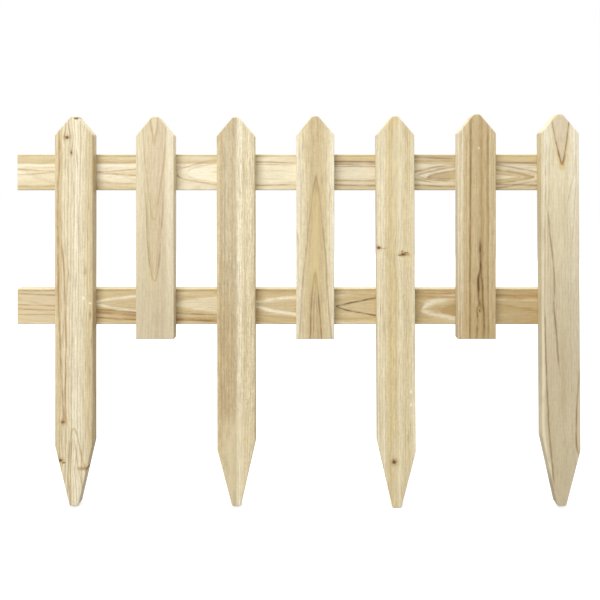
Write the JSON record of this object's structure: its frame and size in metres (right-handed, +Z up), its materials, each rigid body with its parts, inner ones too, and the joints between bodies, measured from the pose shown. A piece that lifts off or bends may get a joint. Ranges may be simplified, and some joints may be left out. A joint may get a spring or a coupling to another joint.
{
  "type": "wooden picket border edging section",
  "caption": "Low picket edging for a garden border: pointed flat pickets, every other one a sharpened stake, fixed across two rails that stick out at one end.",
  "frame": {"origin": "middle of the blunt tip of the left-hand stake, as seen from the front", "axes": "+X along the section to the right, +Y to the back where the rails are, +Z up"},
  "size_m": [0.7157, 0.032, 0.496],
  "materials": {
    "picket_wood": "planed, untreated",
    "rail_wood": "planed, untreated"
  },
  "bodies": {
    "root": {"stake_1": "picket_wood", "short_picket_2": "picket_wood", "stake_3": "picket_wood", "short_picket_4": "picket_wood", "stake_5": "picket_wood", "short_picket_6": "picket_wood", "stake_7": "picket_wood", "lower_rail": "rail_wood", "upper_rail": "rail_wood"}
  },
  "joints": []
}
